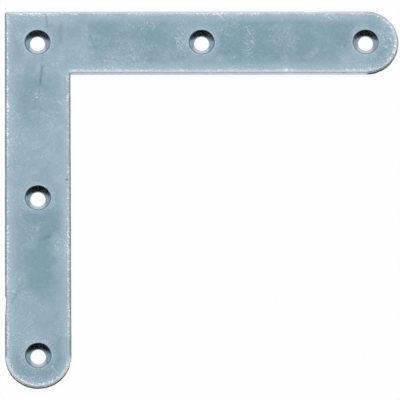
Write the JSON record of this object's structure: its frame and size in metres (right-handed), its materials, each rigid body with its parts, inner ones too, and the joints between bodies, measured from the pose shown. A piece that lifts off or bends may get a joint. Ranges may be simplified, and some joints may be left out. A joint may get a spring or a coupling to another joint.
{
  "type": "flat corner plate",
  "caption": "Flat L-shaped corner plate with round-ended arms and countersunk screw holes, for joining two members at a right angle.",
  "frame": {"origin": "axis of the corner hole at the back face, the flat face that lies on the work", "axes": "+Z out of the face, the way a screw leaves its countersunk hole; one arm along +X, the other along -Y"},
  "size_m": [0.12, 0.12, 0.002],
  "materials": {
    "zinc_steel": "bright zinc plate, blue-grey, mottled and lightly scuffed"
  },
  "bodies": {
    "root": {"corner_plate": "zinc_steel"}
  },
  "joints": []
}
